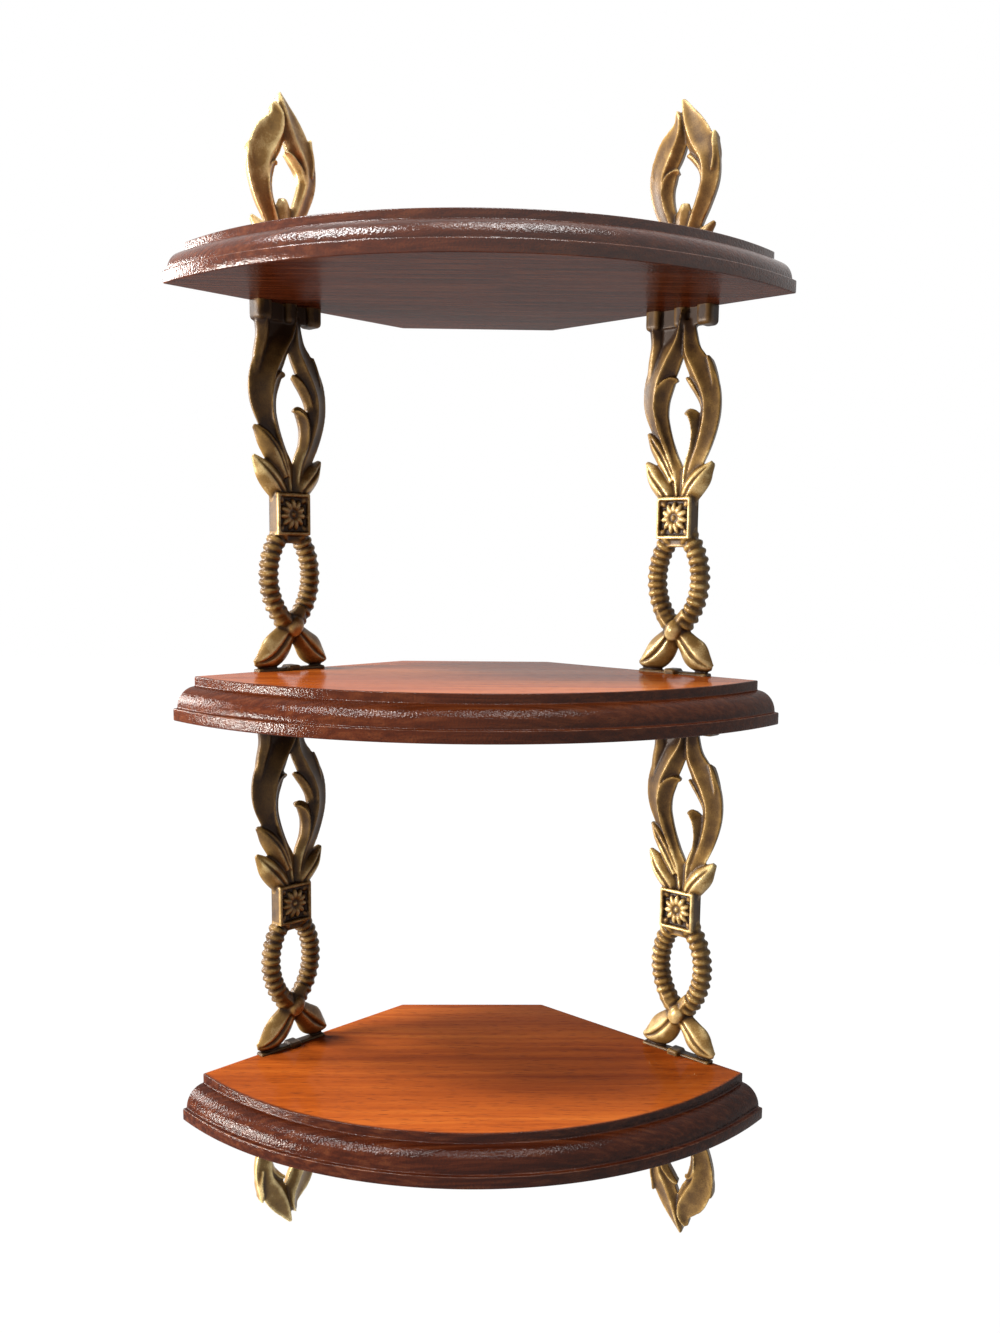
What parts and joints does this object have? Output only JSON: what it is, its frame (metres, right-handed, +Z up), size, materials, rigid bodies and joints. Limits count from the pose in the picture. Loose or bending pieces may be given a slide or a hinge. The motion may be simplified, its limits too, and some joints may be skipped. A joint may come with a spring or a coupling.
{
  "type": "corner wall shelf",
  "caption": "Tiered corner wall shelf with moulded quarter-round boards of varnished red-brown wood on pierced gilt metal uprights with flame finials.",
  "frame": {"origin": "centre of the whole part's box, on the mid-plane of the middle board", "axes": "+Z up, +Y back into the room's corner, +X to the right as seen from the room"},
  "size_m": [0.32, 0.1918, 0.637],
  "materials": {
    "board_wood": "red-brown hardwood under glossy varnish",
    "gilt_casting": "antique gilt with dark patina in the hollows",
    "stud_steel": "plain threaded rod"
  },
  "bodies": {
    "root": {"top_shelf": "board_wood", "middle_shelf": "board_wood", "bottom_shelf": "board_wood", "left_top_finial": "gilt_casting", "left_upper_upright": "gilt_casting", "left_lower_upright": "gilt_casting", "left_drop_finial": "gilt_casting", "right_top_finial": "gilt_casting", "right_upper_upright": "gilt_casting", "right_lower_upright": "gilt_casting", "right_drop_finial": "gilt_casting", "left_top_finial_stud": "stud_steel", "left_upper_upright_head_stud": "stud_steel", "left_upper_upright_foot_stud": "stud_steel", "left_lower_upright_head_stud": "stud_steel", "left_lower_upright_foot_stud": "stud_steel", "left_drop_finial_stud": "stud_steel", "right_top_finial_stud": "stud_steel", "right_upper_upright_head_stud": "stud_steel", "right_upper_upright_foot_stud": "stud_steel", "right_lower_upright_head_stud": "stud_steel", "right_lower_upright_foot_stud": "stud_steel", "right_drop_finial_stud": "stud_steel"}
  },
  "joints": []
}
